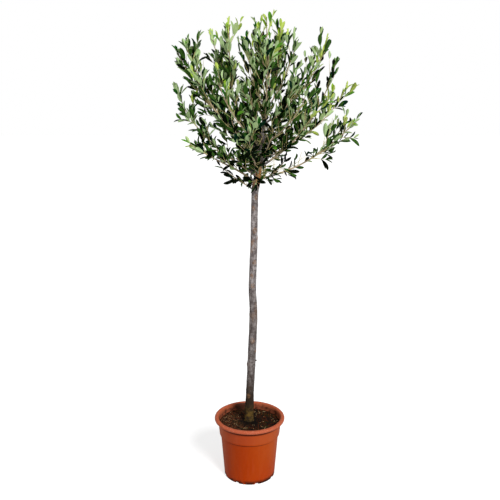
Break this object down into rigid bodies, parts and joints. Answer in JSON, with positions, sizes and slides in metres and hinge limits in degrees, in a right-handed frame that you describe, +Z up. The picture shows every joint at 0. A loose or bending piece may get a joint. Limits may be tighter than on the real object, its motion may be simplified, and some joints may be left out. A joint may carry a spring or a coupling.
{
  "type": "potted standard olive tree",
  "caption": "Young standard olive tree with a bare trunk and an open round crown of upright shoots, in a round tapered pot filled with compost.",
  "frame": {"origin": "middle of the pot's flat underside", "axes": "+Z up along the trunk, +X to the side the crown leans to, +Y to the back"},
  "size_m": [0.793, 0.7451, 1.9247],
  "materials": {
    "pot": "satin terracotta-coloured plastic, scuffed",
    "compost": "moist dark compost with bark bits",
    "bark": "grey-brown young bark",
    "foliage": "leathery leaves, dark above and grey-green below"
  },
  "bodies": {
    "root": {"pot": "pot", "compost": "compost", "trunk": "bark", "bough_low_left": "bark", "bough_left_front": "bark", "bough_left_long": "bark", "bough_left_mid": "bark", "bough_left_inner": "bark", "bough_left_near": "bark", "bough_top_left": "bark", "bough_top_right": "bark", "bough_top_back": "bark", "bough_right_near": "bark", "bough_right_upper": "bark", "bough_right_mid": "bark", "bough_right_outer": "bark", "bough_right_front": "bark", "bough_low_right": "bark", "bough_front_low": "bark", "bough_front_near": "bark", "bough_front_left": "bark", "bough_front_top": "bark", "bough_fork_front": "bark", "bough_fork_right": "bark", "bough_fork_left": "bark", "bough_centre_front": "bark", "bough_back_low": "bark", "bough_back_left": "bark", "bough_back_right": "bark", "bough_back_top": "bark", "foliage_low_left": "foliage", "foliage_left_front": "foliage", "foliage_left_long": "foliage", "foliage_left_mid": "foliage", "foliage_left_inner": "foliage", "foliage_left_near": "foliage", "foliage_leader": "foliage", "foliage_top_left": "foliage", "foliage_top_right": "foliage", "foliage_top_back": "foliage", "foliage_right_near": "foliage", "foliage_right_upper": "foliage", "foliage_right_mid": "foliage", "foliage_right_outer": "foliage", "foliage_right_front": "foliage", "foliage_low_right": "foliage", "foliage_front_low": "foliage", "foliage_front_near": "foliage", "foliage_front_left": "foliage", "foliage_front_top": "foliage", "foliage_fork_front": "foliage", "foliage_fork_right": "foliage", "foliage_fork_left": "foliage", "foliage_centre_front": "foliage", "foliage_back_low": "foliage", "foliage_back_left": "foliage", "foliage_back_right": "foliage", "foliage_back_top": "foliage"}
  },
  "joints": []
}
